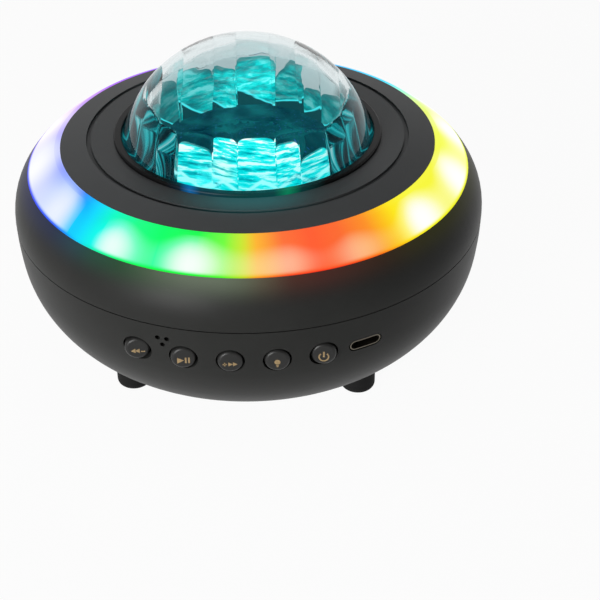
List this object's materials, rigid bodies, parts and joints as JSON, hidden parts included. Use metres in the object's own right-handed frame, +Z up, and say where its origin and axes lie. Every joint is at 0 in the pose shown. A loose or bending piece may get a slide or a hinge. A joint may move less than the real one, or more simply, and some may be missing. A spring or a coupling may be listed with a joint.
{
  "type": "aurora projector speaker",
  "caption": "Round black table-top aurora projector and speaker: clear faceted dome, glowing colour ring, front push buttons, USB-C socket, rubber feet.",
  "frame": {"origin": "centre of the floor plane under the feet", "axes": "+Z up; the buttons face -Y; +X to the right as seen from the front"},
  "size_m": [0.1462, 0.1462, 0.0999],
  "materials": {
    "shell_black": "soft-touch black moulding, fine grain",
    "plate_black": "satin black moulding",
    "ring_diffuser": "milky translucent light ring",
    "dome_clear": "clear moulded dome",
    "clear_plastic": "clear moulded lens plastic",
    "frame_black": "matt black",
    "rubber_black": "black rubber",
    "button_black": "satin black keys with pale symbols",
    "switch_black": "black component plastic",
    "board_green": "green solder mask",
    "led_white": "white LED package",
    "bare_steel": "plated steel",
    "tongue_black": "black contact tongue",
    "bare_aluminium": "bare aluminium",
    "barrel_brass": "turned brass",
    "pinion_white": "white acetal",
    "ferrite": "dark ferrite",
    "cone_paper": "black pressed paper",
    "coil_copper": "enamelled copper wire",
    "battery_blue": "blue shrink wrap",
    "lead_red": "red wire insulation",
    "ribbon_white": "white flat cable"
  },
  "bodies": {
    "housing": {"lower_shell": "shell_black", "upper_shell": "shell_black", "top_plate": "plate_black", "dome_bezel": "plate_black", "light_ring": "ring_diffuser", "dome": "dome_clear", "condenser_lens": "clear_plastic", "laser_grating": "clear_plastic", "projector_frame": "frame_black", "baffle": "frame_black", "speaker_frame": "frame_black", "speaker_grille": "frame_black", "foot_1": "rubber_black", "foot_2": "rubber_black", "foot_3": "rubber_black", "foot_4": "rubber_black", "mic_boot": "rubber_black", "dome_gasket": "rubber_black", "speaker_gasket": "rubber_black", "speaker_surround": "rubber_black", "switch_bodies": "switch_black", "board_parts": "switch_black", "front_board": "board_green", "main_board": "board_green", "ring_board": "board_green", "ring_leds": "led_white", "lamp_chip": "led_white", "usb_socket": "bare_steel", "disc_axle": "bare_steel", "axle_clip": "bare_steel", "motor": "bare_steel", "small_screws": "bare_steel", "housing_screws": "bare_steel", "speaker_pole_plate": "bare_steel", "speaker_yoke": "bare_steel", "microphone": "bare_steel", "usb_tongue": "tongue_black", "lamp_board": "bare_aluminium", "heat_sink": "bare_aluminium", "laser_module": "barrel_brass", "speaker_magnet": "ferrite", "battery": "battery_blue", "battery_leads": "lead_red", "ribbon": "ribbon_white"},
    "ripple_wheel": {"ripple_disc": "clear_plastic"},
    "pinion_drive": {"drive_pinion": "pinion_white"},
    "cone_unit": {"speaker_cone": "cone_paper", "voice_coil": "coil_copper", "dust_cap": "cone_paper"},
    "previous_key": {"button_previous": "button_black", "plunger_previous": "switch_black"},
    "play_key": {"button_play": "button_black", "plunger_play": "switch_black"},
    "next_key": {"button_next": "button_black", "plunger_next": "switch_black"},
    "light_key": {"button_light": "button_black", "plunger_light": "switch_black"},
    "power_key": {"button_power": "button_black", "plunger_power": "switch_black"}
  },
  "joints": [
    {"name": "press_previous", "type": "slide", "parent": "housing", "child": "previous_key", "axis": [0, 1, 0], "range_m": [0, 0.0005], "stiffness_N_per_m": 1500},
    {"name": "press_play", "type": "slide", "parent": "housing", "child": "play_key", "axis": [0, 1, 0], "range_m": [0, 0.0005], "stiffness_N_per_m": 1500},
    {"name": "press_next", "type": "slide", "parent": "housing", "child": "next_key", "axis": [0, 1, 0], "range_m": [0, 0.0005], "stiffness_N_per_m": 1500},
    {"name": "press_light", "type": "slide", "parent": "housing", "child": "light_key", "axis": [0, 1, 0], "range_m": [0, 0.0005], "stiffness_N_per_m": 1500},
    {"name": "press_power", "type": "slide", "parent": "housing", "child": "power_key", "axis": [0, 1, 0], "range_m": [0, 0.0005], "stiffness_N_per_m": 1500},
    {"name": "ripple_spin", "type": "hinge", "parent": "housing", "child": "ripple_wheel", "pos_m": [0, 0, 0.06], "axis": [0, 0, 1], "continuous": true},
    {"name": "pinion_spin", "type": "hinge", "parent": "housing", "child": "pinion_drive", "pos_m": [0.02971, 0, 0.06], "axis": [0, 0, 1], "continuous": true},
    {"name": "cone_travel", "type": "slide", "parent": "housing", "child": "cone_unit", "axis": [0, 0, 1], "range_m": [-0.001, 0.001], "stiffness_N_per_m": 600, "deforming": ["speaker_surround"]}
  ],
  "couplings": [
    {"joint": "pinion_spin", "follows": "ripple_spin", "ratio": -5}
  ]
}
